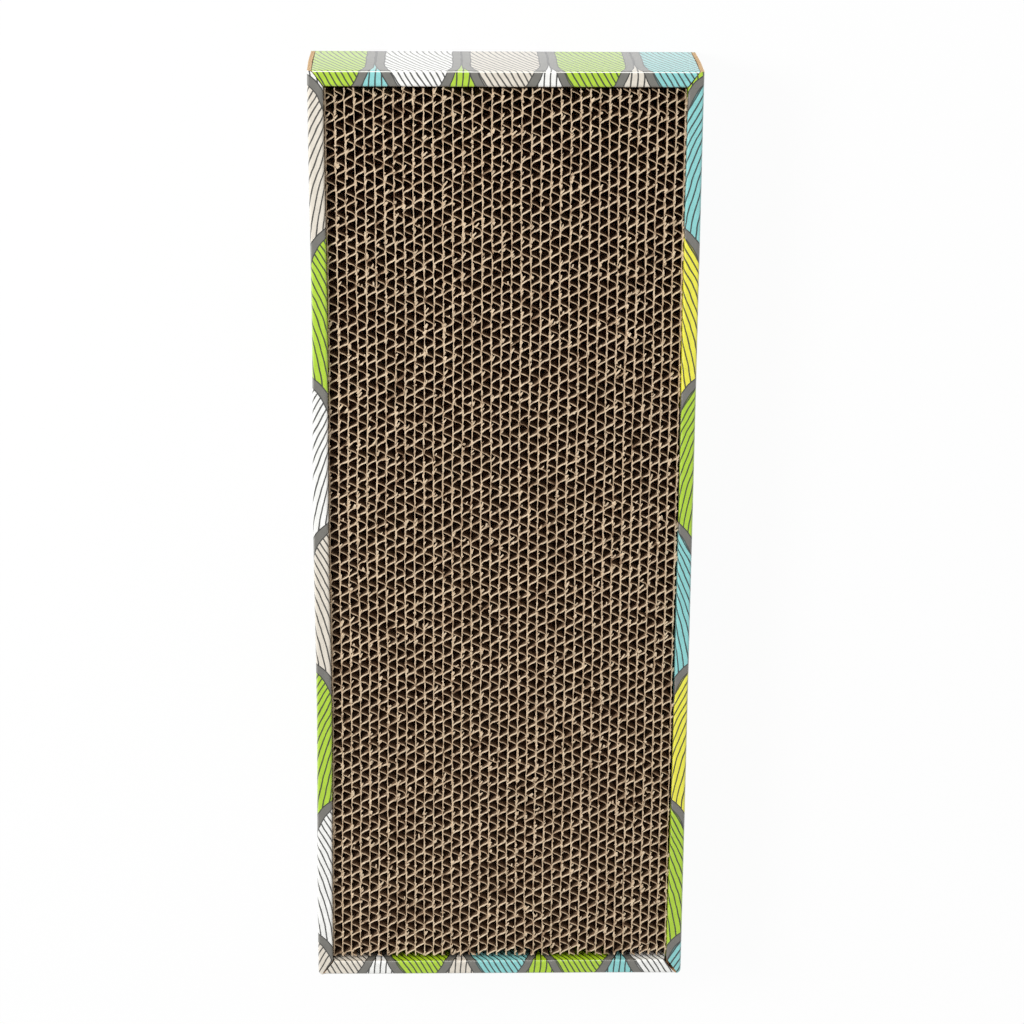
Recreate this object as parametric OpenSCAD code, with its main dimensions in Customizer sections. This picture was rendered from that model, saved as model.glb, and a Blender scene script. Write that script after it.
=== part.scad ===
// A flat cardboard cat scratcher: a folded, printed tray that holds a loose
// block of single-faced corrugated sheets, standing on edge side by side.
// X runs across the tray, Y along it, Z up. The origin is under its middle.

/* [Tray] */
// Outside length of the tray
tray_length = 507; // [460:1:560]
// Height of the tray, from the floor to the top of the rim
tray_height = 62; // [45:1:80]
// Thickness of the board that the tray is folded from
board_t = 2; // [1.4:0.1:2.4]
// Width of the flat rim on top of each hollow wall
rim_width = 8.2; // [7.6:0.1:12]
// Radius of the outside of a fold
fold_r = 1.4; // [0.8:0.1:1.8]
// Gap where two rims meet in a mitre
mitre_gap = 0.6; // [0.2:0.1:1.5]

/* [Flaps and tabs] */
// Length of the corner flaps that are shut inside the long walls
flap_length = 55; // [30:1:80]
// Play beside a flap, and between panels that only lie together
fold_play = 0.3; // [0.2:0.05:0.5]
// Tabs on each long inner wall that lock into the base
side_tab_count = 3; // [2:1:4]
// Tabs on each short inner wall that lock into the base
end_tab_count = 1; // [1:1:2]
// Width of a locking tab
tab_width = 42; // [25:1:60]
// How far a tab's tip is narrower at each side
tab_taper = 5; // [2:0.5:8]
// Play around a tab in its slot
slot_play = 0.25; // [0.15:0.05:0.4]

/* [Pad] */
// Number of corrugated sheets in the pad
layer_count = 37; // [24:1:40]
// Height of the flutes, from crest to crest
flute_height = 4.5; // [3.6:0.1:5.4]
// Length of one flute along the sheet
flute_pitch = 9.2; // [7.6:0.1:10.5]
// Thickness of the flat liner paper
liner_t = 0.5; // [0.3:0.05:0.7]
// Thickness of the fluted paper
medium_t = 0.4; // [0.25:0.05:0.6]
// Flat that the glue presses on each crest
crest_flat = 0.4; // [0.2:0.05:0.8]
// Thickness of a line of glue
glue_t = 0.05; // [0.02:0.01:0.08]

/* [Fit of the pad] */
// Depth from the top of the rim down to the pad
pad_recess = 4.5; // [2:0.5:10]
// Play between the pad and each long wall
side_play = 0.3; // [0.2:0.05:1]
// Play between the pad and each short wall
end_play = 1.4; // [0.5:0.1:3]

/* [Hidden] */

// The whole pad follows from its sheets, and the tray's width from the pad
layer_pitch = liner_t + flute_height;
pad_width = layer_count * layer_pitch + liner_t;
tray_width = pad_width + 2 * (side_play + rim_width);
pad_length = tray_length - 2 * (rim_width + end_play);
pad_height = tray_height - pad_recess - board_t;

half_width = tray_width / 2;
half_length = tray_length / 2;
// Outer and inner walls stand between the base and the rims
wall_z = board_t;
wall_h = tray_height - 2 * board_t;
// Inner walls stand this far from the middle, measured to the face on the pad
inner_x = half_width - rim_width;
inner_y = half_length - rim_width;

half_pitch = flute_pitch / 2;
// Where a sheet's flutes start, as a share of a pitch: a middle, and two swings about it
start_share = 0.44;
step_share = 0.25;
drift_share = 0.2;
// How these swings turn from sheet to sheet, in degrees
step_angle = 104;
drift_angle = 201;
// Two pitches of spare flutes are made and cut off flush at the pad's ends
fold_count = 2 * ceil(pad_length / flute_pitch) + 4;

board_colour = "burlywood";
print_colour = "yellowgreen";
paper_colour = "tan";
liner_colour = "peru";

function two_digits(i) = str(i < 10 ? "0" : "", i);
function layer_name(i) = str("pad_layer_", two_digits(i));

TRAY_NODES = [
    "base_panel",
    "left_outer_wall", "right_outer_wall", "front_outer_wall", "back_outer_wall",
    "left_rim", "right_rim", "front_rim", "back_rim",
    "left_inner_wall", "right_inner_wall", "front_inner_wall", "back_inner_wall",
    "left_corner_flaps", "right_corner_flaps"
];

// A strip of board with two rounded edges, seen along its length
module folded_profile(width) {
    translate([-width / 2, 0]) square([width, board_t - fold_r]);
    translate([fold_r - width / 2, 0]) square([width - 2 * fold_r, board_t]);
    for (side = [-1, 1])
        intersection() {
            translate([side * (width / 2 - fold_r), board_t - fold_r]) circle(r = fold_r, $fn = 48);
            translate([-width / 2, 0]) square([width, board_t]);
        }
}

// A folded strip that lies along Y, rounded edges up
module folded_strip(width, length) {
    rotate([90, 0, 0]) linear_extrude(height = length, center = true) folded_profile(width);
}

// Places of a row of locking tabs along a wall, measured from its middle
function tab_places(count, length) = [for (i = [0:count - 1]) length * ((i + 0.5) / count - 0.5)];

// An inner wall's outline, with its tabs reaching down through the base
module tabbed_outline(length, count) {
    translate([-length / 2, 0]) square([length, wall_h]);
    for (place = tab_places(count, length))
        translate([place, 0])
            polygon([
                [-tab_width / 2, 0], [-tab_width / 2 + tab_taper, -board_t],
                [tab_width / 2 - tab_taper, -board_t], [tab_width / 2, 0]
            ]);
}

// An inner wall along X whose face towards the pad is at y = 0, reaching to +Y
module inner_wall(length, count) {
    translate([0, board_t, wall_z]) rotate([90, 0, 0])
        linear_extrude(height = board_t) tabbed_outline(length, count);
}

// The slots for one inner wall's tabs, cut right through the base
module tab_slots(length, count) {
    for (place = tab_places(count, length))
        translate([place - tab_width / 2 - slot_play, -slot_play, -board_t])
            cube([tab_width + 2 * slot_play, board_t + 2 * slot_play, 3 * board_t]);
}

side_wall_length = tray_length - 2 * (board_t + fold_play);
end_wall_length = 2 * inner_x - 2 * fold_play;

module base_panel() {
    color(board_colour) difference() {
        intersection() {
            translate([0, 0, board_t]) rotate([180, 0, 0]) folded_strip(tray_width, tray_length);
            translate([0, 0, board_t]) rotate([180, 0, 90]) folded_strip(tray_length, tray_width);
        }
        for (side = [-1, 1]) {
            rotate([0, 0, -side * 90]) translate([0, inner_x, 0])
                tab_slots(side_wall_length, side_tab_count);
            rotate([0, 0, side > 0 ? 0 : 180]) translate([0, inner_y, 0])
                tab_slots(end_wall_length, end_tab_count);
        }
    }
}

// Long outer walls run the whole length, so their cut edges show at the corners
module side_outer_wall() {
    color(print_colour) translate([half_width - board_t, -half_length, wall_z])
        cube([board_t, tray_length, wall_h]);
}

// Short outer walls fit between the long ones
module end_outer_wall() {
    width = tray_width - 2 * (board_t + fold_play);
    color(print_colour) translate([-width / 2, half_length - board_t, wall_z])
        cube([width, board_t, wall_h]);
}

// A rim along Y with its ends mitred; across and along are its outside sizes
module mitred_rim(across, along) {
    reach = across / 2;
    end = along / 2 - mitre_gap / 2;
    translate([0, 0, tray_height - board_t]) color(print_colour) intersection() {
        translate([reach - rim_width / 2, 0, 0]) folded_strip(rim_width, along);
        linear_extrude(height = board_t) polygon([
            [reach, -end], [reach, end], [reach - rim_width, end - rim_width],
            [reach - rim_width, rim_width - end]
        ]);
    }
}

module side_rim() mitred_rim(tray_width, tray_length);
module end_rim() rotate([0, 0, 90]) mitred_rim(tray_length, tray_width);

module side_inner_wall() {
    color(print_colour) rotate([0, 0, -90]) translate([0, inner_x, 0])
        inner_wall(side_wall_length, side_tab_count);
}

module end_inner_wall() {
    color(print_colour) translate([0, inner_y, 0]) inner_wall(end_wall_length, end_tab_count);
}

// Two flaps, each folded off a short outer wall, inside the long hollow wall at +X
module corner_flaps() {
    color(board_colour) for (side = [0, 1]) mirror([0, side, 0])
        translate([half_width - 2 * board_t - fold_play, half_length - board_t - flap_length, wall_z])
            cube([board_t, flap_length, wall_h - fold_play]);
}

// One fluted paper seen from above, its folds running along Y from y = 0 upwards
function fold_at(k, start) = start + k * half_pitch;
function outer_points(k, start) = k % 2 == 0
    ? [
        [flute_height, fold_at(k, start) - crest_flat / 2],
        [flute_height, fold_at(k, start) + crest_flat / 2]
      ]
    : [[medium_t, fold_at(k, start)]];
function inner_points(k, start) = k % 2 == 1
    ? [
        [0, fold_at(k, start) + crest_flat / 2],
        [0, fold_at(k, start) - crest_flat / 2]
      ]
    : [[flute_height - medium_t, fold_at(k, start)]];

module flute_outline(start) {
    polygon(concat(
        [for (k = [0:fold_count]) each outer_points(k, start)],
        [for (k = [fold_count:-1:0]) each inner_points(k, start)]
    ));
}

module liner_outline() {
    translate([0, -pad_length / 2]) square([liner_t, pad_length]);
}

// The sheets are glued up where they fall, so only some neighbours' flutes line up
function swing_share(i) = step_share * sin(i * step_angle) + drift_share * sin(i * i * drift_angle);
function phase_share(i) = start_share + swing_share(i);
function flute_start(i) = -pad_length / 2 - flute_pitch * (1 + phase_share(i));

// One single-faced sheet: a liner with its fluted paper glued on
module pad_layer(i) {
    translate([(i - 1) * layer_pitch - pad_width / 2, 0, board_t])
        color(i % 2 == 0 ? paper_colour : liner_colour)
            linear_extrude(height = pad_height) {
                liner_outline();
                translate([liner_t - glue_t, 0]) intersection() {
                    flute_outline(flute_start(i));
                    translate([0, -pad_length / 2]) square([flute_height, pad_length]);
                }
            }
}

// The last liner closes the pad's open flutes
module closing_liner() {
    color(liner_colour) translate([pad_width / 2 - liner_t, 0, board_t])
        linear_extrude(height = pad_height) liner_outline();
}

base_panel();
mirror([1, 0, 0]) side_outer_wall();  // left_outer_wall
side_outer_wall();  // right_outer_wall
mirror([0, 1, 0]) end_outer_wall();  // front_outer_wall
end_outer_wall();  // back_outer_wall
mirror([1, 0, 0]) side_rim();  // left_rim
side_rim();  // right_rim
mirror([0, 1, 0]) end_rim();  // front_rim
end_rim();  // back_rim
mirror([1, 0, 0]) side_inner_wall();  // left_inner_wall
side_inner_wall();  // right_inner_wall
mirror([0, 1, 0]) end_inner_wall();  // front_inner_wall
end_inner_wall();  // back_inner_wall
mirror([1, 0, 0]) corner_flaps();  // left_corner_flaps
corner_flaps();  // right_corner_flaps
for (i = [1:layer_count])
    pad_layer(i);
closing_liner();
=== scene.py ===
import math

import bmesh
import bpy
import numpy as np
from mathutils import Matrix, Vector


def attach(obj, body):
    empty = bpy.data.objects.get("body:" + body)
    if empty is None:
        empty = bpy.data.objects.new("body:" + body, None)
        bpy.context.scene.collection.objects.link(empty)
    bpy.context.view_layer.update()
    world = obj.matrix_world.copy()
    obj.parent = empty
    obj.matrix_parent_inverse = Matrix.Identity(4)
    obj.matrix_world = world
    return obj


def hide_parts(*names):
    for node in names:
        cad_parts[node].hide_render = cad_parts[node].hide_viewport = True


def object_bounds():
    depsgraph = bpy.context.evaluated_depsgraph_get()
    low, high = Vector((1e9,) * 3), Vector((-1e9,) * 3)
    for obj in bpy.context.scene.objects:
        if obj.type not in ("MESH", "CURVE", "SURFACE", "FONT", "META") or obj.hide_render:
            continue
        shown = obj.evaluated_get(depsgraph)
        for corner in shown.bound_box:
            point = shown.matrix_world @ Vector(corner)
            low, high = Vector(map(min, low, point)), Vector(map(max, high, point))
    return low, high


# A flat cardboard cat scratcher: a folded, printed tray and its loose corrugated pad.
# Everything is in metres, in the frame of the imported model.

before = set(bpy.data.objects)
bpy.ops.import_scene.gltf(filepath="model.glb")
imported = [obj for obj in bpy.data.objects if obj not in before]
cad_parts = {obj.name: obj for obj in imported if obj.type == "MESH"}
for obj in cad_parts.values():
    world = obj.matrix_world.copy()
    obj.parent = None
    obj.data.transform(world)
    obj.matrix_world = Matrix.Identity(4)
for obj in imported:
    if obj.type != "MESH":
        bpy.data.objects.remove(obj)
cadLow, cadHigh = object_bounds()
mm = 0.001

# The tray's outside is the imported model's, and its board and folds are as there
tray = {
    "halfWidth": round(cadHigh[0], 6),
    "halfLength": round(cadHigh[1], 6),
    "height": round(cadHigh[2], 6),
    "board": 2 * mm,
    "rim": 8.2 * mm,
    "foldRadius": 1.4 * mm,
}


class Wire:  # a socket that can be used in sums
    def __init__(self, host, socket):
        self.host, self.socket = host, socket

    def maths(self, operation, *others):
        return self.host.node("ShaderNodeMath", {"operation": operation}, dict(enumerate((self, *others))))

    def turned(self, operation, other):
        return self.host.node("ShaderNodeMath", {"operation": operation}, {0: other, 1: self})

    def of(self, name):  # another output of the same node
        return Wire(self.host, self.socket.node.outputs[name])

    def __add__(self, other):
        return self.maths("ADD", other)

    def __radd__(self, other):
        return self.turned("ADD", other)

    def __sub__(self, other):
        return self.maths("SUBTRACT", other)

    def __rsub__(self, other):
        return self.turned("SUBTRACT", other)

    def __mul__(self, other):
        return self.maths("MULTIPLY", other)

    def __rmul__(self, other):
        return self.turned("MULTIPLY", other)

    def __truediv__(self, other):
        return self.maths("DIVIDE", other)

    def __rtruediv__(self, other):
        return self.turned("DIVIDE", other)

    def __pow__(self, other):
        return self.maths("POWER", other)

    def __mod__(self, other):
        return self.maths("FLOORED_MODULO", other)

    def __neg__(self):
        return self.maths("MULTIPLY", -1)

    def __abs__(self):
        return self.maths("ABSOLUTE")

    def __lt__(self, other):
        return self.maths("LESS_THAN", other)

    def __gt__(self, other):
        return self.maths("GREATER_THAN", other)

    def smaller(self, other):
        return self.maths("MINIMUM", other)

    def larger(self, other):
        return self.maths("MAXIMUM", other)

    def sine(self):
        return self.maths("SINE")

    def cosine(self):
        return self.maths("COSINE")

    def root(self):
        return self.larger(0).maths("SQRT")

    def down(self):
        return self.maths("FLOOR")

    def up(self):
        return self.maths("CEIL")

    def share(self):
        return self.maths("FRACT")

    def between(self, low, high, kind="SMOOTHSTEP"):  # 0 at low, 1 at high
        sockets = {"Value": self, 1: low, 2: high}
        return self.host.node("ShaderNodeMapRange", {"interpolation_type": kind}, sockets)

    def line(self, width, soft):  # 1 on a line of this width where the value is 0
        return 1 - abs(self).between(width / 2 - soft, width / 2 + soft)


class Board:  # a node tree, and the one way in which its nodes are made
    def __init__(self, tree):
        self.tree = tree

    def node(self, kind, settings=None, sockets=None, output=0):
        made = self.tree.nodes.new(kind)
        for name, value in (settings or {}).items():
            if name == "steps":
                self.setSteps(made.color_ramp, value)
            elif name == "items":
                for _ in range(value - len(made.index_switch_items)):
                    made.index_switch_items.new()
            else:
                setattr(made, name, value)
        for name, value in (sockets or {}).items():
            if isinstance(value, Wire):
                self.tree.links.new(value.socket, made.inputs[name])
            else:
                made.inputs[name].default_value = value
        return Wire(self, made.outputs[output]) if made.outputs else made

    def setSteps(self, ramp, colours):  # even, flat steps
        ramp.interpolation = "CONSTANT"
        ramp.elements.remove(ramp.elements[-1])
        for i, colour in enumerate(colours):
            place = i / len(colours)
            element = ramp.elements.new(place) if i else ramp.elements[0]
            element.position, element.color = place, (*colour, 1)

    def flatSteps(self, value, *colours):  # colours by whole numbers from 0
        return self.node("ShaderNodeValToRGB", {"steps": colours}, {"Fac": (value + 0.5) / len(colours)})

    def mixed(self, share, first, second):
        colours = {}
        for socket, value in ((6, first), (7, second)):
            colours[socket] = value if isinstance(value, Wire) else (*value, 1)
        return self.node("ShaderNodeMix", {"data_type": "RGBA"}, {0: share, **colours}, 2)

    def darkened(self, colour, amount):  # amount from 0, black, upwards
        return self.node("ShaderNodeVectorMath", {"operation": "SCALE"}, {0: colour, "Scale": amount})

    def noise(self, where, scale, detail=2.0, dimensions="3D", **more):
        sockets = {"Scale": scale, "Detail": detail, **more}
        if where:
            sockets["Vector"] = where
        return self.node("ShaderNodeTexNoise", {"noise_dimensions": dimensions}, sockets)

    def parts(self, vector):
        split = self.node("ShaderNodeSeparateXYZ", {}, {0: vector})
        return split, split.of("Y"), split.of("Z")

    def joined(self, *parts):
        join = self.node("GeometryNodeJoinGeometry")
        for part in parts:
            self.tree.links.new(part.socket, join.socket.node.inputs[0])
        return join


def newMaterial(name):
    material = bpy.data.materials.new(name)
    material.use_nodes = True
    material.node_tree.nodes.clear()
    return material, Board(material.node_tree)


def finishMaterial(board, sockets, height, distance, strength):
    bump = {"Height": height, "Distance": distance, "Strength": strength}
    normal = board.node("ShaderNodeBump", {}, bump)
    surface = board.node("ShaderNodeBsdfPrincipled", {}, {**sockets, "Normal": normal})
    board.node("ShaderNodeOutputMaterial", {}, {"Surface": surface})


# The print: rows of tall scales, filled with bent hatching, between grey bands. It reads the flat sheet's own
# map, so it runs over the folds. Lengths are in mm on the sheet, creases are on the way over the wall.
printed = {
    "width": 44.47, "reach": 38.0, "row": 80.0, "shift": 24.0, "wander": 1.4,
    "band": 4.6, "bandSoft": 0.1, "outline": 0.65, "outlineSoft": 0.12, "overlap": 0.2,
    "hatchStep": 3.2, "hatch": 0.8, "hatchSoft": 0.09, "lean": 0.45, "bend": 150.0,
    "lime": (0.42, 0.65, 0.02), "white": (0.93, 0.93, 0.90), "beige": (0.76, 0.70, 0.60),
    "yellow": (0.86, 0.82, 0.05), "teal": (0.25, 0.64, 0.63),
    "grey": (0.155, 0.15, 0.132), "ink": (0.012, 0.012, 0.009), "paper": (0.90, 0.89, 0.84),
    "outerCrease": 61.75, "outerCrackAndHighlight": (0.5, 0.2), "outerStray": 0.3,
    "innerCrease": 69.3, "innerWear": (0.20, 0.12), "innerStray": 0.5,
    "bleed": 7.5, "bleedSoft": 0.2,
}
kraft = {
    "light": (0.60, 0.42, 0.25), "dark": (0.36, 0.22, 0.115),
    # the gap colour is painted shade for the hollows inside a cut edge
    "edge": (0.72, 0.50, 0.28), "gap": (0.56, 0.36, 0.19),
    "flute": 3.2,
}


def kraftColour(board, where, light, dark):
    fibre = board.node("ShaderNodeMapping", {}, {"Vector": where, "Scale": (1, 0.25, 1)})
    cloud = board.noise(where, 90.0, 3.0)
    hair = board.noise(fibre, 1900.0, 2.0)
    return board.mixed((cloud * 0.55 + hair * 0.75 - 0.15).between(0.15, 0.85), dark, light)


def makePrint():
    material, board = newMaterial("printedBoard")
    sheet = board.node("ShaderNodeUVMap", {"uv_map": "sheet"})
    path = board.node("ShaderNodeAttribute", {"attribute_name": "path"}, output="Fac") * 1000

    def flatNoise(scale, detail=2.0):
        return board.noise(sheet, scale, detail, "2D")

    wanderX, wanderY, _ = board.parts(flatNoise(70.0).of("Color"))
    flatX, flatY, _ = board.parts(sheet)
    acrossSheet, alongSheet = flatX * 1000, flatY * 1000
    px = acrossSheet + (wanderX - 0.5) * printed["wander"]
    py = alongSheet + (wanderY - 0.5) * printed["wander"] + printed["shift"]
    # Two rows of arches, each half a width beside the other; the lower one lies in front
    width, reach, row = printed["width"], printed["reach"], printed["row"]
    half = width / 2
    columnA = (px / width + 0.5).down()
    columnB = (px / width).down() + 0.5
    besideA, besideB = px - columnA * width, px - columnB * width
    archA = (1 - (besideA / half) ** 2).root() * reach
    archB = (1 - (besideB / half) ** 2).root() * reach
    rowA = ((py - archA) / (2 * row)).up() * 2
    rowB = ((py - archB - row) / (2 * row)).up() * 2 + 1
    front = rowA < rowB
    beside = besideB + (besideA - besideB) * front
    column = columnB + (columnA - columnB) * front
    rowHere = rowA.smaller(rowB)
    above = py - rowHere * row
    rise = above.larger(0)
    ring = ((beside / half) ** 2 + (rise / reach) ** 2).root().larger(0.02)
    slope = ((beside / half ** 2) ** 2 + (rise / reach ** 2) ** 2).root() / ring
    inside = (1 - ring) / slope  # how far inside the arch's edge
    # The hatching runs up and bends aside, each row the other way
    step, bend, lean = printed["hatchStep"], printed["bend"], printed["lean"]
    side = (rowHere % 2) * 2 - 1
    hatchSlope = above / bend + lean
    hatchPlace = (beside * side + above * (above / (2 * bend) + lean)) / step
    hatchGap = step / (hatchSlope ** 2 + 1).root()
    hatchLine = ((hatchPlace.share() - 0.5) * hatchGap).line(printed["hatch"], printed["hatchSoft"])
    # A grey band inside each arch's edge, with a line at both its sides
    band, outline, overlap, soft = (printed[name] for name in ("band", "outline", "overlap", "outlineSoft"))
    bandShare = 1 - inside.between(band - printed["bandSoft"], band + printed["bandSoft"])
    outlines = (inside - overlap).line(outline + overlap, soft).larger((inside - band).line(outline, soft))
    # The colours: one set of three on each long side, a mixed set on the ends
    lime, white, beige, teal, yellow = (printed[name] for name in ("lime", "white", "beige", "teal", "yellow"))
    onEnd = abs(alongSheet) > 1000 * tray["halfLength"]
    leftSide = board.flatSteps((rowHere + 1) % 3, lime, beige, white)
    rightSide = board.flatSteps(rowHere % 3, teal, lime, yellow)
    bothEnds = board.flatSteps((rowHere * 2 + column * 2) % 5, lime, white, teal, beige, lime)
    paint = board.mixed(onEnd, board.mixed(acrossSheet > 0, leftSide, rightSide), bothEnds)
    # Ink is a little uneven and worn
    shade, worn = flatNoise(260.0, 3.0), flatNoise(900.0, 1.0)
    paint = board.darkened(paint, shade.between(0.2, 0.8, "LINEAR") * 0.10 + 0.95)
    paint = board.mixed(hatchLine * (0.9 + worn * 0.1), paint, printed["ink"])
    paint = board.mixed(bandShare, paint, board.darkened(printed["grey"], shade * 0.25 + 0.88))
    paint = board.mixed(outlines * (0.85 + worn * 0.15), paint, printed["ink"])
    # Creases: at the two folds of each wall the ink cracks to pale paper; along the outer fold, strongest on
    # the end walls, that pale line is also a painted highlight
    crack = flatNoise(420.0, 4.0)
    outerPlace = path - printed["outerCrease"] + (crack - 0.5) * printed["outerStray"]
    innerPlace = path - printed["innerCrease"] + (crack - 0.5) * printed["innerStray"]
    # The outer fold's line is cracked ink and a painted highlight, strong on the end walls
    outerCrease = outerPlace.line(*printed["outerCrackAndHighlight"]) * (onEnd * (crack * 0.8 + 0.35) + 0.2).smaller(1)
    innerCrease = innerPlace.line(*printed["innerWear"]) * crack.between(0.50, 0.62) * 0.4
    creases = outerCrease.larger(innerCrease)
    paint = board.mixed(creases, paint, printed["paper"])
    # Under the tray the print ends a little way in from the folds
    edgeX = 1000 * tray["halfWidth"] - abs(acrossSheet)
    edgeY = 1000 * tray["halfLength"] - abs(alongSheet)
    bleed, bleedSoft = printed["bleed"], printed["bleedSoft"]
    plain = edgeX.smaller(edgeY).between(bleed - bleedSoft, bleed + bleedSoft)
    objectPlace = board.node("ShaderNodeTexCoord", output="Object")
    paint = board.mixed(plain, paint, kraftColour(board, objectPlace, kraft["light"], kraft["dark"]))
    # The flutes inside the board show as a faint washboard
    flutes = (acrossSheet * (math.tau / kraft["flute"])).sine() * 0.5 + flatNoise(120.0) * 1.5
    gloss = flatNoise(300.0) * 0.10 + 0.30 + plain * 0.35 + creases * 0.25
    finish = {"Base Color": paint, "Roughness": gloss, "IOR": 1.5, "Coat Weight": 0.6, "Coat Roughness": 0.12}
    finishMaterial(board, finish, flutes, 0.04 * mm, 0.6)
    return material


# Raw board: the inner side, and cut edges with the fluted middle paper between two liners; the hollows
# between the papers are painted darker, as shade
def makeRawBoard():
    material, board = newMaterial("rawBoard")
    place = board.node("ShaderNodeTexCoord", output="Object")
    cut = board.node("ShaderNodeUVMap", {"uv_map": "cut"})
    alongCut, acrossCut, _ = board.parts(cut)
    wave = (alongCut * (math.tau / (kraft["flute"] * mm))).sine()
    onLiner = abs(acrossCut - 0.5).between(0.36, 0.42)
    onFlute = (acrossCut - 0.5 - wave * 0.33).line(0.24, 0.06)
    rough = board.noise(place, 1500.0, 3.0)
    papers = onLiner.larger(onFlute)
    # The hollows between the papers get the darker gap colour, a painted shade
    section = board.mixed(papers * (0.75 + rough * 0.5).smaller(1), kraft["gap"], kraft["edge"])
    isCut = board.node("ShaderNodeAttribute", {"attribute_name": "cutEdge"}, output="Fac")
    paint = board.mixed(isCut, kraftColour(board, place, kraft["light"], kraft["dark"]), section)
    finish = {"Base Color": paint, "Roughness": 0.85, "IOR": 1.4}
    finishMaterial(board, finish, rough + papers * isCut, 0.15 * mm, 0.7)
    return material


# Corrugated paper: pale and furry at the sawn edges; under them a darker brown that is painted shade inside
# the cells, and paler again far down, which is painted light. The depths are from the sawn edge, or from the
# pad's end, in mm.
paper = {
    "furry": (0.80, 0.64, 0.455), "sawn": (0.615, 0.452, 0.296),
    # side is painted shade under the sawn edges, and the deep colour is painted light far down
    "side": (0.285, 0.184, 0.113), "deepPaintedLight": (0.76, 0.505, 0.34),
    "outer": (0.46, 0.30, 0.165), "outerDark": (0.3312, 0.216, 0.1188),
    "top": 57.5, "bottom": 2.0, "end": 243.9,
    "sawnDepth": 0.38, "paintedShadeDepth": (0.1, 0.85), "paintedLightDepth": (5.0, 15.5), "endDepth": (0.3, 4.0),
}


def makePaper(name, outside):
    material, board = newMaterial(name)
    place = board.node("ShaderNodeTexCoord", output="Object")
    _, y, z = board.parts(place)
    speck = board.noise(place, 800.0, 3.0)
    cloud = board.noise(place, 55.0, 2.0)
    fibre = board.noise(place, 2300.0, 2.0)
    depth = (paper["top"] - z * 1000).smaller(z * 1000 - paper["bottom"])
    if outside:
        base = kraftColour(board, place, paper["outer"], paper["outerDark"])
    else:
        # Below the sawn edge the paper is painted darker, as shade in the cells, and far down, away from the
        # pad's ends, paler, as painted light
        uneven = depth + (speck - 0.5) * 0.7
        fromEnd = paper["end"] - abs(y) * 1000
        base = board.mixed(uneven.between(*paper["paintedShadeDepth"]), paper["sawn"], paper["side"])
        deepLightShare = uneven.between(*paper["paintedLightDepth"]) * fromEnd.between(*paper["endDepth"])
        base = board.mixed(deepLightShare, base, paper["deepPaintedLight"])
    sawnShare = 1 - (depth + (speck - 0.5) * 0.5).between(0.0, paper["sawnDepth"])
    fuzz = board.node("ShaderNodeAttribute", {"attribute_name": "fuzz"}, output="Fac")
    # Paler where marked: partly burr fibres, partly a painted highlight on the lit rising flanks
    furry = (speck * 0.6 + fibre * 0.4 + (fuzz - 0.5) * 0.35).between(0.38, 0.58)
    edge = board.mixed(furry, paper["sawn"], paper["furry"])
    paint = board.mixed(sawnShare, base, board.darkened(edge, 0.85 + cloud * 0.3))
    finish = {"Base Color": paint, "Roughness": 0.9, "IOR": 1.4, "Specular IOR Level": 0.25}
    finishMaterial(board, finish, speck, 0.2 * mm, 0.6)
    return material


printedBoard = makePrint()
rawBoard = makeRawBoard()
corrugated = makePaper("corrugatedPaper", False)
padLiner = makePaper("padLiner", True)
print("materials made")


# Paper goods are never quite straight: the left side bows in twice, the right inner wall stands a little out,
# the pad's sheets crowd towards the right, and all share a small wander. A bow is its size, place and spread,
# in mm, and a wave of the wander its share, length, slant and start.
bows = {
    "left": ((0.9, 115, 75), (0.9, -95, 75)),
    "right": (0.72, -50, 140),
    "crowd": 1.35, "crowdPower": 2.3,
    "wander": 0.16, "wanderEdge": 12,
    "waves": ((1.0, 19, 0.11, 0.0), (0.6, 8.3, -0.23, 1.3), (0.5, 41, 0.05, 2.2)),
}


def settled(points, ofPad=False):
    moved = points.copy()
    x, y = points[:, 0] * 1000, points[:, 1] * 1000
    inner = 1000 * (tray["halfWidth"] - tray["rim"])
    hollow = 1000 * (tray["halfWidth"] - tray["board"])
    leftShare = np.clip(0.5 - x / (2 * inner), 0, 1)
    leftBow = sum(size * np.exp(-((y - middle) / spread) ** 2) for size, middle, spread in bows["left"])
    if ofPad:
        rightShift = bows["crowd"] * np.sin(math.pi * (1 - leftShare) ** bows["crowdPower"])
    else:
        size, middle, spread = bows["right"]
        rightBow = size * np.exp(-((y - middle) / spread) ** 4)
        yielding = np.clip((hollow - x) / (hollow - inner), 0, 1)  # nothing at the right outer wall
        rightShift = rightBow * (1 - leftShare) * yielding
    within = np.clip((inner - np.abs(x)) / bows["wanderEdge"], 0, 1)
    wander = sum(part * np.sin(y / length + x * slant + start) for part, length, slant, start in bows["waves"])
    shift = leftBow * leftShare + rightShift + bows["wander"] * wander * within
    moved[:, 0] += mm * shift
    return moved


def settleMesh(mesh, ofPad=False):
    points = np.zeros(len(mesh.vertices) * 3, np.float32)
    mesh.vertices.foreach_get("co", points)
    moved = settled(points.reshape(-1, 3).astype(float), ofPad)
    mesh.vertices.foreach_set("co", moved.astype(np.float32).ravel())
    mesh.update()


def smoothMesh(mesh, sharp):  # sharp where faces meet at more than this many degrees
    mesh.polygons.foreach_set("use_smooth", [True] * len(mesh.polygons))
    mesh.set_sharp_from_angle(angle=math.radians(sharp))


def meshPiece(name, mesh, body, nodes):
    piece = bpy.data.objects.new(name, mesh)
    bpy.context.scene.collection.objects.link(piece)
    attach(piece, body)
    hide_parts(*nodes)
    return piece


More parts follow.
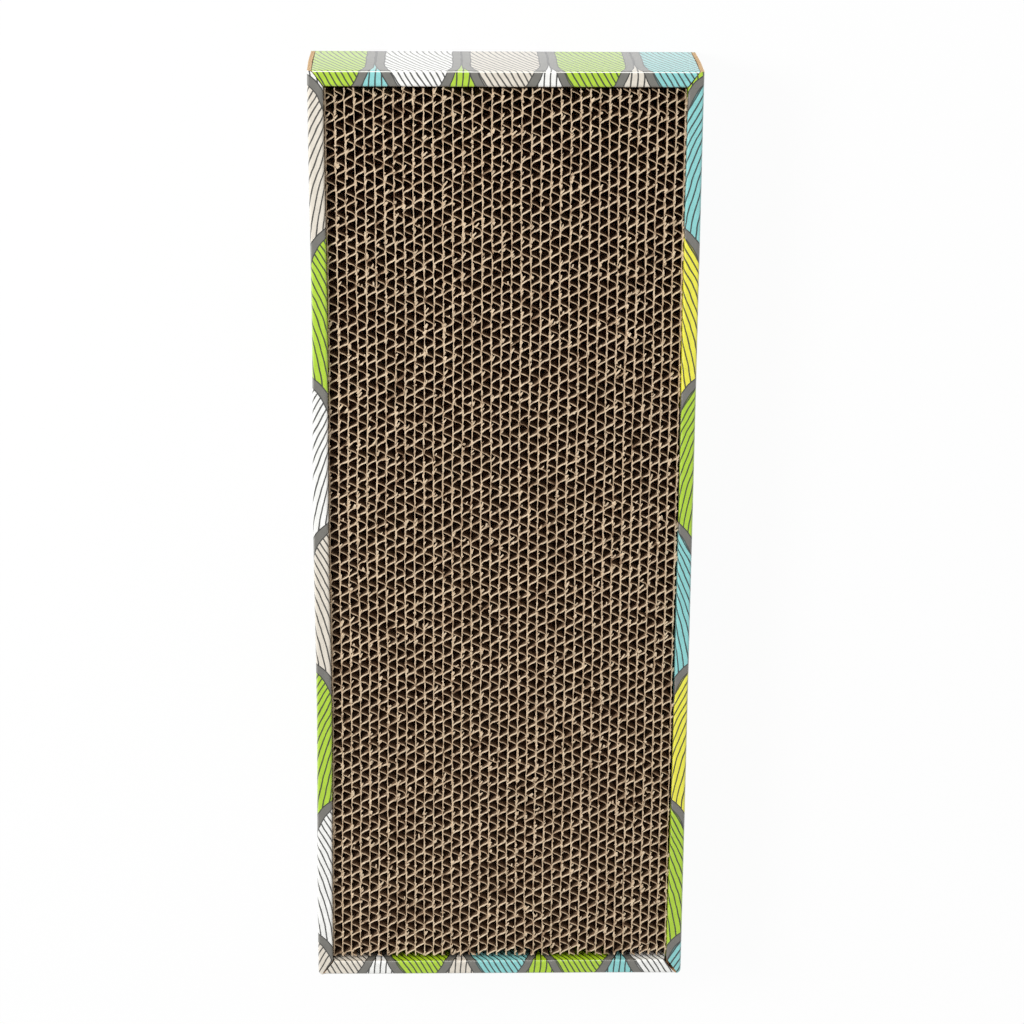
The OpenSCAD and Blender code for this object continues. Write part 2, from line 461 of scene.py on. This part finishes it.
# One folded wall: outer wall, rim and inner wall are one strip of board that turns over twice. Lengths are
# in mm.
wall = {
    "levels": (2, 4, 12, 24, 36, 48, 56), "foldSteps": 6, "rimSteps": 4, "step": 4.0,
    "bulge": 0.35, "sag": 0.12, "undercut": 1.4,
    "topLevel": 59, "topDrop": 0.16, "waves": ((0.10, 31, 1), (0.06, 13, 2)),
    "cornerRadius": 2.2, "cornerSteps": (0.3, 0.8, 1.4, 2.2), "cornerDepth": 2.5,
    "tabWidth": 42.0, "tabTaper": 5.0, "tabFoot": 0.15, "tabPlay": 0.02, "sharp": 35,
}
# Where strips end: the side walls' mitres begin this far in, the end walls this far behind the sides' outer
# faces, and the rest is play between pieces
ends = {"mitre": 2.2, "behind": 2.3, "sidePlay": 0.15, "endPlay": 0.25, "innerPlay": 0.3}


def wallSection():
    # Each row is the outer skin's d and z, the inner skin's, the length along the outer skin, and its part of
    # the wall; d is measured inwards
    radius, board, height, width = (1000 * tray[name] for name in ("foldRadius", "board", "height", "rim"))
    quarter, turns = math.pi / 2, wall["foldSteps"]
    rows, low = [], wall["levels"][0]
    for z in wall["levels"]:
        swell = wall["bulge"] * math.sin(math.pi * (z - low) / (height - radius - low)) ** 2
        rows.append(((-swell, z), (board - swell, z), z, "outer"))
    path = height - radius
    for i in range(turns + 1):
        angle = quarter * i / turns
        outer = (radius - radius * math.cos(angle), height - radius + radius * math.sin(angle))
        rows.append((outer, (board, height - board), path + radius * angle, "fold"))
    path += radius * quarter
    flat = width - 2 * radius
    for i in range(1, wall["rimSteps"]):
        share = i / wall["rimSteps"]
        dip = wall["sag"] * math.sin(math.pi * share)
        inner = (board + (width - 2 * board) * share, height - board - dip)
        rows.append(((radius + flat * share, height - dip), inner, path + flat * share, "rim"))
    path += flat
    for i in range(turns + 1):
        angle = quarter * i / turns
        outer = (width - radius + radius * math.sin(angle), height - radius + radius * math.cos(angle))
        rows.append((outer, (width - board, height - board), path + radius * angle, "fold"))
    path += radius * quarter
    for z in reversed(wall["levels"]):
        rows.append(((width, z), (width - board, z), path + height - radius - z, "inner"))
    return rows


def wallEnd(kind, row, gap):
    # How far a strip stops short of the tray's outside at this row, in mm
    (d, _), _, _, part = row
    rim = 1000 * tray["rim"]
    if kind == "side":
        if part == "inner":
            return ends["behind"]
        if part == "outer" or d <= ends["mitre"]:
            return 0.0
        return (d - ends["mitre"]) / (rim - ends["mitre"]) * (rim + ends["sidePlay"]) + gap / 2
    if part == "outer":
        return ends["behind"]
    if part == "inner":
        return rim + ends["innerPlay"]
    return ends["behind"] + d / rim * (rim - ends["behind"] + ends["endPlay"]) + gap / 2 * min(1, d / 2)


def wallStrip(name, kind, turn, nodes, gaps, tabCount):
    # turn is the quarter turns from +X to this wall's outward direction; gaps are the mitres' at its two ends
    onSide = kind == "side"
    halfWidth, halfLength = 1000 * tray["halfWidth"], 1000 * tray["halfLength"]
    halfAcross, halfAlong = (halfWidth, halfLength) if onSide else (halfLength, halfWidth)
    # Even steps along the wall, and a few more where a long wall's front corner is rounded
    even = np.linspace(0, 2, int(round(2 * halfAlong / wall["step"])) + 1)
    near = np.array(wall["cornerSteps"]) / halfAlong
    share = np.unique(np.concatenate([even, near, 2 - near])) - 1
    size = len(share)
    pinch = np.zeros(size)
    if onSide:
        fromFront = (1 + share * (1 if turn == 0 else -1)) * halfAlong
        missing = np.clip(wall["cornerRadius"] - fromFront, 0, None)
        pinch = wall["cornerRadius"] - np.sqrt(wall["cornerRadius"] ** 2 - missing ** 2)
    rows = wallSection()
    skins = {"outer": [], "inner": []}
    sheetMap, paths = [], []
    for row in rows:
        outer, inner, path, part = row
        low = -(halfAlong - wallEnd(kind, row, gaps[0]))
        high = halfAlong - wallEnd(kind, row, gaps[1])
        along = low + (high - low) * (share + 1) / 2
        onRim = part == "rim" or (part == "fold" and outer[0] > 2)
        wave = sum(swing * np.sin(along / length + turn * times) for swing, length, times in wall["waves"])
        for skin, (d, z) in (("outer", outer), ("inner", inner)):
            height = z + wave - wall["topDrop"] if z > wall["topLevel"] else np.full(size, z)
            inset = wall["undercut"] if onRim and skin == "inner" else 0.0
            reach = np.clip(along, low + inset, high - inset)
            inwards = d + pinch * max(0.0, 1 - outer[0] / wall["cornerDepth"]) * (part != "inner")
            skins[skin].append(np.stack([halfAcross - inwards, reach, height], 1))
        sheetMap.append(np.stack([halfAcross + path + 0 * along, along], 1))
        paths.append(np.full(size, path))
    total = len(rows) * size
    faces, materials = [], []

    def at(skin, r, c):
        return skin * total + r * size + c

    def addFace(face, material, flipped=False):
        faces.append(face[::-1] if flipped else face)
        materials.append(material)

    for r in range(len(rows) - 1):
        for c in range(size - 1):
            addFace((at(0, r, c), at(0, r, c + 1), at(0, r + 1, c + 1), at(0, r + 1, c)), 0)
            addFace((at(1, r, c), at(1, r + 1, c), at(1, r + 1, c + 1), at(1, r, c + 1)), 1)
        for c, flipped in ((0, False), (size - 1, True)):  # cut ends
            addFace((at(0, r, c), at(0, r + 1, c), at(1, r + 1, c), at(1, r, c)), 1, flipped)
    for r, flipped in ((0, True), (len(rows) - 1, False)):  # cut borders at the foot of both walls
        for c in range(size - 1):
            addFace((at(0, r, c), at(0, r, c + 1), at(1, r, c + 1), at(1, r, c)), 1, flipped)
    angle = turn * math.pi / 2
    spin = np.array([[math.cos(angle), -math.sin(angle)], [math.sin(angle), math.cos(angle)]])
    points = np.concatenate(skins["outer"] + skins["inner"])
    points[:, :2] = points[:, :2] @ spin.T
    flat = np.concatenate(sheetMap) @ spin.T
    flat = np.concatenate([flat, flat])
    paths = np.concatenate(paths + paths)
    skinOf = np.concatenate([np.zeros(total), np.ones(total)])
    # Locking tabs under the inner wall
    behind, rim, board = ends["behind"], 1000 * tray["rim"], 1000 * tray["board"]
    length = 2 * halfAlong - 2 * behind if onSide else 2 * (halfWidth - rim - ends["innerPlay"])
    tabPoints = []
    for k in range(tabCount):
        middle = length * ((k + 0.5) / tabCount - 0.5)
        first = len(points) + len(tabPoints)
        topHalf = wall["tabWidth"] / 2
        for z, halfTab in ((board, topHalf), (wall["tabFoot"], topHalf - wall["tabTaper"])):
            for d in (rim - wall["tabPlay"], rim - (board - wall["tabPlay"])):
                for side in (-1, 1):
                    place = spin @ np.array([halfAcross - d, middle + side * halfTab])
                    tabPoints.append([place[0], place[1], z])
        for quad in ((0, 1, 3, 2), (4, 6, 7, 5), (0, 4, 5, 1), (2, 3, 7, 6), (0, 2, 6, 4), (1, 5, 7, 3)):
            addFace(tuple(first + i for i in quad), 1)
    tabCorners = len(tabPoints)
    points = np.concatenate([points, np.array(tabPoints)])
    flat = np.concatenate([flat, np.zeros((tabCorners, 2))])
    paths = np.concatenate([paths, np.zeros(tabCorners)])
    skinOf = np.concatenate([skinOf, np.full(tabCorners, 2)])

    mesh = bpy.data.meshes.new(name)
    mesh.from_pydata(settled(points * mm).tolist(), [], faces)
    mesh.materials.append(printedBoard)
    mesh.materials.append(rawBoard)
    mesh.polygons.foreach_set("material_index", materials)
    sheet = mesh.uv_layers.new(name="sheet")
    cut = mesh.uv_layers.new(name="cut")
    loops = np.zeros(len(mesh.loops), np.int32)
    mesh.loops.foreach_get("vertex_index", loops)
    sheet.data.foreach_set("uv", (flat[loops] * mm).astype(np.float32).ravel())
    cutMap = np.stack([paths[loops] * mm, np.minimum(skinOf[loops], 1)], 1)
    cut.data.foreach_set("uv", cutMap.astype(np.float32).ravel())
    pathMark = mesh.attributes.new("path", "FLOAT", "POINT")
    pathMark.data.foreach_set("value", (paths * mm).astype(np.float32))
    cutMark = mesh.attributes.new("cutEdge", "FLOAT", "FACE")
    # A face that joins the two skins is a cut edge
    cutMark.data.foreach_set("value", [float({int(skinOf[v]) for v in face} == {0, 1}) for face in faces])
    work = bmesh.new()
    work.from_mesh(mesh)
    bmesh.ops.remove_doubles(work, verts=work.verts, dist=2e-6)
    bmesh.ops.dissolve_degenerate(work, edges=work.edges, dist=1e-6)
    work.to_mesh(mesh)
    work.free()
    smoothMesh(mesh, wall["sharp"])
    return meshPiece(name, mesh, "tray", nodes)


for name, kind, turn, gaps, tabCount in (
    ("right", "side", 0, (1.5, 0.45), 3), ("back", "end", 1, (0.4, 0.4), 1),
    ("left", "side", 2, (0.5, 0.6), 3), ("front", "end", 3, (0.6, 2.3), 1),
):
    nodes = (name + "_outer_wall", name + "_rim", name + "_inner_wall")
    wallStrip(name + "_folded_wall", kind, turn, nodes, gaps, tabCount)
print("four folded walls made")


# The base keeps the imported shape, cut into bands so that it can follow the walls
baseBands = {"count": 24, "step": 10.0}


def makeBase():
    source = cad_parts["base_panel"]
    work = bmesh.new()
    work.from_mesh(source.data)
    bmesh.ops.remove_doubles(work, verts=work.verts, dist=2e-6)
    for i in range(-baseBands["count"], baseBands["count"] + 1):
        everything = list(work.verts) + list(work.edges) + list(work.faces)
        middle = (0, i * baseBands["step"] * mm, 0)
        bmesh.ops.bisect_plane(work, geom=everything, plane_co=middle, plane_no=(0, 1, 0), dist=1e-7)
    mesh = bpy.data.meshes.new("base_sheet")
    work.to_mesh(mesh)
    work.free()
    mesh.materials.clear()
    mesh.materials.append(printedBoard)
    mesh.materials.append(rawBoard)
    halfX, halfY, radius = (1000 * tray[name] for name in ("halfWidth", "halfLength", "foldRadius"))
    sheet = mesh.uv_layers.new(name="sheet")
    mesh.uv_layers.new(name="cut")
    pathMark = mesh.attributes.new("path", "FLOAT", "POINT")
    mesh.attributes.new("cutEdge", "FLOAT", "FACE")
    pathMark.data.foreach_set("value", [0.0] * len(mesh.vertices))
    points = np.array([v.co for v in mesh.vertices]) * 1000

    def unrolled(value, half, z):  # flat distance from the middle, round the fold under the edge
        over = abs(value) - (half - radius)
        if over <= 1e-4:
            return value
        angle = math.atan2(over, max(1e-6, radius - z)) if z < radius else math.pi / 2
        return math.copysign(half - radius + radius * angle + max(0.0, z - radius), value)

    for polygon in mesh.polygons:
        centre = polygon.center * 1000
        outside = polygon.normal.z < -0.05 or abs(centre.x) > halfX - 0.5 or abs(centre.y) > halfY - 0.5
        polygon.material_index = 0 if outside else 1
        for loop in polygon.loop_indices:
            x, y, z = points[mesh.loops[loop].vertex_index]
            sheet.data[loop].uv = (unrolled(x, halfX, z) * mm, unrolled(y, halfY, z) * mm)
    smoothMesh(mesh, wall["sharp"])
    settleMesh(mesh)
    return meshPiece("base_sheet", mesh, "tray", ("base_panel",))


makeBase()
for name in ("left_corner_flaps", "right_corner_flaps"):
    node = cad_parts[name]
    node.data.materials.clear()
    node.data.materials.append(rawBoard)
print("base and corner flaps made")


# The pad: one tree makes a corrugated sheet, and every sheet of the pad has its own seed and place. Lengths
# are in mm, and flakes is their number to a square metre. Skew, bow and sag shape the flute's flanks, and
# edges over so many degrees are sharp.
sheetSizes = {
    "count": 37, "pitchAcross": 5.0, "firstPlace": -92.75, "closingPlace": 92.25,
    "length": 487.8, "bottom": 2.0, "top": 57.5,
    "flutePitch": 9.2, "flute": 4.66, "liner": 0.29, "medium": 0.28,
    "roundness": 0.995, "crest": 1.84, "skew": 0.135, "bow": 0.42, "sag": 0.32, "jitter": 0.025,
    "pathStep": 0.5, "linerStep": 0.8, "sharp": 50,
    "fray": 0.36, "burr": 0.32, "pull": 0.16, "flakes": 170000.0,
    "frayDepth": (1.1, 0.1), "burrDepth": (0.8, 0.15), "flakeDepth": 0.7, "backDepth": 0.4,
}
# How fine each noise is, to a metre
grains = {"flute": 75, "glue": 230, "burr": 420.0, "fur": 620.0, "slow": 110.0, "torn": 170.0, "patch": 62.0}
# The paper seen end on, as its place across, whether it is at the top, and a lift: straight sides, and a lip
# where the saw has pushed it open
paperOutline = (
    (-0.5, 0, 0.0), (-0.45, 0, 0.6), (-0.45, 1, -2.0), (-0.5, 1, -0.8), (-0.62, 1, -0.12), (0.0, 1, 0.0),
    (0.62, 1, -0.12), (0.5, 1, -0.8), (0.45, 1, -2.0), (0.45, 0, 0.6), (0.5, 0, 0.0),
)
# Torn flakes: length, width and bend of each kind, their thickness, and the angles between which they lean
flakeKinds = ((2.3, 0.8, 1.5), (1.6, 1.2, 1.0), (2.0, 0.65, 2.4))
flakeThickness = 0.16
flakeLean = {"low": (-1.1, -0.3, -0.85), "high": (-0.1, 0.3, 0.1)}


def sheetTree():
    tree = bpy.data.node_groups.new("corrugatedSheet", "GeometryNodeTree")
    board = Board(tree)
    inputs = {
        "Float": (
            "Place", "Length", "Bottom", "Top", "Flute Pitch", "Flute Start", "Flute Height", "Liner",
            "Medium", "Roundness", "Crest", "Skew", "Bow", "Sag", "Jitter", "Fray", "Burr", "Pull", "Flakes",
        ),
        "Int": ("Medium Steps", "Liner Steps", "Seed"),
        "Bool": ("With Medium",),
        "Material": ("Paper", "Back"),
    }
    for kind, names in inputs.items():
        for name in names:
            tree.interface.new_socket(name, in_out="INPUT", socket_type="NodeSocket" + kind)
    tree.interface.new_socket("Geometry", in_out="OUTPUT", socket_type="NodeSocketGeometry")
    entry = board.node("NodeGroupInput")
    given = {name: entry.of(name) for names in inputs.values() for name in names}
    top, bottom, seed = given["Top"], given["Bottom"], given["Seed"]
    noiseSeed = seed * 7.31
    position = board.node("GeometryNodeInputPosition")
    x, y, z = board.parts(position)

    def vector(x=0.0, y=0.0, z=0.0):
        return board.node("ShaderNodeCombineXYZ", {}, {"X": x, "Y": y, "Z": z})

    def movedTo(geometry, position):
        return board.node("GeometryNodeSetPosition", {}, {"Geometry": geometry, "Position": position})

    def movedBy(geometry, offset):
        return board.node("GeometryNodeSetPosition", {}, {"Geometry": geometry, "Offset": offset})

    def fuzzAndFlankLightMarked(geometry, value):
        mark = {"Geometry": geometry, "Name": "fuzz", "Value": value}
        return board.node("GeometryNodeStoreNamedAttribute", {"data_type": "FLOAT", "domain": "POINT"}, mark)

    def seededNoise(grain, detail, more=0):
        return board.noise(position, grains[grain], detail, "4D", W=noiseSeed + more)

    def alongNoise(grain, detail):
        return board.noise(None, 1.0, detail, "1D", W=y * grains[grain] + noiseSeed)

    def nearSaw(depths):  # 0 at the first depth under the sawn edge, 1 at the second
        return z.between(top - depths[0] * mm, top - depths[1] * mm)

    def random(kind, low, high, more, sockets, output):
        limits = {**dict(zip(sockets, (low, high))), "Seed": seed + more}
        return board.node("FunctionNodeRandomValue", {"data_type": kind}, limits, output)

    def paperProfile(thickness):
        index = board.node("GeometryNodeInputIndex")
        corners = {i + 1: point for i, point in enumerate(paperOutline)}
        count = len(paperOutline)
        settings = {"data_type": "VECTOR", "items": count}
        pick = board.node("GeometryNodeIndexSwitch", settings, {0: index, **corners})
        across, onTop, lift = board.parts(pick)
        dots = board.node("GeometryNodeMeshLine", {}, {"Count": count, "Offset": (mm, 0, 0)})
        height = bottom + (top - bottom) * onTop + lift * mm
        shaped = movedTo(dots, vector(across * thickness, -height))  # a swept profile's Y points down
        line = board.node("GeometryNodeMeshToCurve", {}, {"Mesh": shaped})
        return board.node("GeometryNodeSetSplineCyclic", {}, {"Geometry": line, "Cyclic": True})

    def pathLine(steps):
        start = vector(0.0, given["Length"] * -0.5, 0.0)
        step = vector(0.0, given["Length"] / (steps - 1), 0.0)
        places = {"Count": steps, "Start Location": start, "Offset": step}
        dots = board.node("GeometryNodeMeshLine", {}, places)
        return board.node("GeometryNodeMeshToCurve", {}, {"Mesh": dots})

    def swept(steps, across, thickness):
        bent = movedTo(pathLine(steps), vector(across, y))
        upright = board.node("GeometryNodeSetCurveNormal", {"mode": "Z_UP"}, {"Curve": bent})
        profile = paperProfile(thickness)
        sweep = {"Curve": upright, "Profile Curve": profile, "Fill Caps": True}
        return board.node("GeometryNodeCurveToMesh", {}, sweep)

    # The medium: a rounded triangle wave whose sides bow apart, with a little disorder from flute to flute
    disorder = alongNoise("flute", 2.0) - 0.5
    turns = (y - given["Flute Start"]) / given["Flute Pitch"] + disorder * given["Jitter"] * 4
    angle = turns * math.tau
    triangle = (angle.cosine() * given["Roundness"]).maths("ARCSINE") / given["Roundness"].maths("ARCSINE")
    steep = triangle * given["Crest"] * (angle.sine() * given["Skew"] + 1)
    wave = steep / (abs(steep) ** 9 + 1) ** (1 / 9)  # flat where it is glued to the liners
    falling = angle.sine() * 0.5 + 0.5
    power = 1 + given["Bow"] * (1 - falling) - given["Sag"] * falling
    rise = (wave * 0.505 + 0.5).larger(0.0005) ** power
    reach = given["Flute Height"] - given["Medium"]
    mediumX = given["Place"] + given["Liner"] + given["Medium"] * 0.5 + reach * rise
    medium = swept(given["Medium Steps"], mediumX, given["Medium"])
    # The saw leaves its burrs towards +X: on the rising flanks' lower side, and on the liners
    sideX, sideY, _ = board.parts(board.node("GeometryNodeInputNormal"))
    slantX, slantY = 0.466, 0.885  # outwards from a rising flank's lower side
    rising = (sideX * slantX - sideY * slantY).between(0.35, 0.7)
    rightward = sideX.between(0.4, 0.8)
    ragged = seededNoise("burr", 2.0, 9)
    atTop = nearSaw(sheetSizes["burrDepth"])
    burr = given["Burr"] * mm * rising * atTop * (ragged * 2.6 - 0.3).larger(0)
    medium = movedBy(medium, vector(burr * slantX, burr * -slantY, 0.0))
    # The rising flanks' sawn edges are marked paler: partly their burrs' loose fibres, partly a painted
    # highlight on the flanks that face the light
    medium = fuzzAndFlankLightMarked(medium, (angle.sine() * -0.5 + 0.5).between(0.3, 0.8) * 0.75 + 0.25)
    switch = {"Switch": given["With Medium"], "True": medium}
    medium = board.node("GeometryNodeSwitch", {"input_type": "GEOMETRY"}, switch)
    # The glue pulls the liner in and out a little along its length
    linerX = given["Place"] + given["Liner"] * 0.5
    pulled = alongNoise("glue", 1.0) - 0.5
    liner = swept(given["Liner Steps"], linerX + pulled * given["Pull"] * 2, given["Liner"])
    linerBurr = given["Burr"] * mm * (rightward * atTop) * (ragged * 8 - 3.5).larger(0)
    liner = fuzzAndFlankLightMarked(movedBy(liner, vector(linerBurr, 0.0, 0.0)), 0.5)
    # Furry sawn edges
    furX, furY, furZ = board.parts(seededNoise("fur", 2.0).of("Color"))
    slow = seededNoise("slow", 1.0)
    torn = seededNoise("torn", 1.0, 4)
    push = given["Fray"] * mm * nearSaw(sheetSizes["frayDepth"]) * (torn.between(0.52, 0.72) * 2.6 + 0.75)
    furLift = ((furZ - 0.62) * 2.2 + (slow - 0.5) * 2.4) * push
    fur = vector((furX - 0.5) * push * 2.4, (furY - 0.5) * push * 2.4, furLift)
    frayed = movedBy(board.joined(medium, liner), fur)
    # Torn flakes: little curls that stand on the sawn edges and lean over the cells
    curls = []
    for length, wide, bend in flakeKinds:
        size = (wide * mm, flakeThickness * mm, length * mm)
        counts = {"Vertices X": 2, "Vertices Y": 2, "Vertices Z": 5}
        strip = board.node("GeometryNodeMeshCube", {}, {"Size": size, **counts})
        alongStrip = z / (length * mm) + 0.5
        turned = alongStrip * bend
        arc = length * mm / bend
        bentX = x * (1 - alongStrip * 0.45)
        bentY = arc * (1 - turned.cosine()) + y * turned.cosine()
        bentZ = arc * turned.sine() - y * turned.sine()
        bent = fuzzAndFlankLightMarked(movedTo(strip, vector(bentX, bentY, bentZ)), 0.55)
        curls.append(board.node("GeometryNodeGeometryToInstance", {}, {"Geometry": bent}))
    normalX, _, normalZ = board.parts(board.node("GeometryNodeInputNormal"))
    onEdge = (z > top - sheetSizes["flakeDepth"] * mm) * (normalZ > 0.5)
    # They crowd on the liner where the flute leaves it free, and in patches that neighbouring sheets share
    onFree = 1 - abs((turns + 0.5).share() - 0.42).between(0.16, 0.32)
    onLiner = 1 - abs(x - linerX).between(given["Liner"] * 0.8, given["Liner"] * 1.4)
    patch = board.noise(position, grains["patch"], 1.0).between(0.42, 0.68)
    density = given["Flakes"] * (onFree * onLiner * (patch * 5.5 + 3.0) + onLiner * 0.3 + patch * 0.35 + 0.1)
    spread = {"Mesh": frayed, "Selection": onEdge, "Density": density, "Seed": seed}
    spots = board.node("GeometryNodeDistributePointsOnFaces", {}, spread)
    tilt = random("FLOAT_VECTOR", flakeLean["low"], flakeLean["high"], 3, (0, 1), 0)
    draw = random("FLOAT", 0.0, 1.0, 5, (2, 3), 1)
    which = random("INT", 0, len(flakeKinds) - 1, 9, (4, 5), 2)
    size = vector(draw * 0.8 + 0.7, draw * 0.9 + 0.7, draw ** 2.0 * 1.2 + 0.6)
    leaning = board.node("FunctionNodeEulerToRotation", {}, {"Euler": tilt})
    flakes = board.node("GeometryNodeInstanceOnPoints", {}, {
        "Points": spots, "Instance": board.joined(*curls), "Pick Instance": True, "Instance Index": which,
        "Rotation": leaning, "Scale": size,
    })
    real = board.node("GeometryNodeRealizeInstances", {}, {"Geometry": board.joined(flakes, frayed)})
    painted = board.node("GeometryNodeSetMaterial", {}, {"Geometry": real, "Material": given["Paper"]})
    onFace = (abs(x - linerX) < given["Liner"] * 1.3) * (abs(normalX) > 0.6)
    underSaw = z < top - sheetSizes["backDepth"] * mm
    backing = {"Geometry": painted, "Selection": onFace * underSaw, "Material": given["Back"]}
    backed = board.node("GeometryNodeSetMaterial", {}, backing)
    board.node("NodeGroupOutput", {}, {"Geometry": backed})
    return tree


padTree = sheetTree()


def phaseShare(i):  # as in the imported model
    return 0.44 + 0.25 * math.sin(math.radians(i * 104)) + 0.2 * math.sin(math.radians(i * i * 201))


def growSheet(name, place, seed, withMedium, back, node):
    sizes = sheetSizes
    holder = bpy.data.objects.new(name + "_grown", bpy.data.meshes.new(name + "_grown"))
    bpy.context.scene.collection.objects.link(holder)
    grower = holder.modifiers.new("sheet", "NODES")
    grower.node_group = padTree
    values = {
        "Place": place * mm,
        "Flute Start": (-sizes["length"] / 2 - sizes["flutePitch"] * (1 + phaseShare(seed))) * mm,
        "Medium Steps": int(sizes["length"] / sizes["pathStep"]),
        "Liner Steps": int(sizes["length"] / sizes["linerStep"]),
        "With Medium": withMedium, "Seed": seed, "Paper": corrugated, "Back": back,
    }
    lengths = {
        "Length": "length", "Bottom": "bottom", "Top": "top", "Flute Pitch": "flutePitch",
        "Flute Height": "flute", "Liner": "liner", "Medium": "medium", "Pull": "pull",
    }
    values.update({label: sizes[key] * mm for label, key in lengths.items()})
    for label in ("Roundness", "Crest", "Skew", "Bow", "Sag", "Jitter", "Fray", "Burr", "Flakes"):
        values[label] = sizes[label.lower()]
    sockets = {item.name: item.identifier for item in padTree.interface.items_tree if item.in_out == "INPUT"}
    for label, value in values.items():
        grower[sockets[label]] = value
    graph = bpy.context.evaluated_depsgraph_get()
    grown = holder.evaluated_get(graph)
    mesh = bpy.data.meshes.new_from_object(grown, preserve_all_data_layers=True, depsgraph=graph)
    mesh.name = name
    bpy.data.objects.remove(holder)
    settleMesh(mesh, ofPad=True)
    smoothMesh(mesh, sizes["sharp"])
    return meshPiece(name, mesh, "pad", (node,))


triangles = 0
for i in range(1, sheetSizes["count"] + 1):
    place = (i - 1) * sheetSizes["pitchAcross"] + sheetSizes["firstPlace"]
    back = padLiner if i == 1 else corrugated
    sheet = growSheet(f"pad_sheet_{i:02d}", place, i, True, back, f"pad_layer_{i:02d}")
    triangles += sum(len(p.vertices) - 2 for p in sheet.data.polygons)
place = sheetSizes["closingPlace"]
growSheet("pad_closing_sheet", place, sheetSizes["count"] + 1, False, padLiner, "closing_liner")
print("pad made,", triangles, "triangles")


def straightRays(board):  # 1 for what the camera, gloss or glass sees
    seen = board.node("ShaderNodeLightPath", {}, {}, "Is Camera Ray")
    return seen.larger(seen.of("Is Glossy Ray")).larger(seen.of("Is Transmission Ray"))


# A white table that runs out of sight, and keeps a little of the object's shadow
table = {"halfSide": 6.0, "lit": 0.92, "glow": 0.95}


def makeFloor():
    material, board = newMaterial("whiteTable")
    lit = board.node("ShaderNodeBsdfDiffuse", {}, {"Color": (table["lit"], table["lit"], table["lit"], 1)})
    glow = board.node("ShaderNodeEmission", {}, {"Color": (1, 1, 1, 1), "Strength": 1.0})
    share = straightRays(board) * table["glow"]
    surface = board.node("ShaderNodeMixShader", {}, {0: share, 1: lit, 2: glow})
    board.node("ShaderNodeOutputMaterial", {}, {"Surface": surface})
    mesh = bpy.data.meshes.new("table")
    side = table["halfSide"]
    corners = [(-side, -side, 0), (side, -side, 0), (side, side, 0), (-side, side, 0)]
    mesh.from_pydata(corners, [], [(0, 1, 2, 3)])
    mesh.materials.append(material)
    floor = bpy.data.objects.new("table", mesh)
    bpy.context.scene.collection.objects.link(floor)


makeFloor()

lights = {
    "sky": 0.485,
    "key": {"place": (-1.32, 0.58, 1.42), "size": 0.68, "power": 26.3},
    "fill": {"place": (0.2, 2.4, 0.42), "size": 1.6, "power": 19.6},
}


def makeLights():
    world = bpy.data.worlds.new("studio")
    bpy.context.scene.world = world
    world.use_nodes = True
    world.node_tree.nodes.clear()
    board = Board(world.node_tree)
    strength = straightRays(board) * (1 - lights["sky"]) + lights["sky"]
    sky = board.node("ShaderNodeBackground", {}, {"Color": (1, 1, 1, 1), "Strength": strength})
    board.node("ShaderNodeOutputWorld", {}, {"Surface": sky})
    for name in ("key", "fill"):
        setting = lights[name]
        data = bpy.data.lights.new(name, "AREA")
        data.shape, data.size, data.energy = "DISK", setting["size"], setting["power"]
        lamp = bpy.data.objects.new(name, data)
        lamp.location = setting["place"]
        lamp.rotation_euler = (-Vector(setting["place"])).to_track_quat("-Z", "Y").to_euler()
        bpy.context.scene.collection.objects.link(lamp)


makeLights()

view = {
    "lens": 108.83, "sensor": 36, "clip": (0.01, 50),
    "place": (-0.03739, 0.52453, 1.62844), "turn": (-17.92, -1.476, -0.028),
}
camera = bpy.data.objects.new("camera", bpy.data.cameras.new("camera"))
camera.data.lens, camera.data.sensor_width = view["lens"], view["sensor"]
camera.data.clip_start, camera.data.clip_end = view["clip"]
camera.location = view["place"]
camera.rotation_mode = "YXZ"
camera.rotation_euler = [math.radians(a) for a in view["turn"]]
bpy.context.scene.collection.objects.link(camera)
bpy.context.scene.camera = camera
bpy.context.scene.view_settings.view_transform = "Standard"
print("table, lights and camera set")
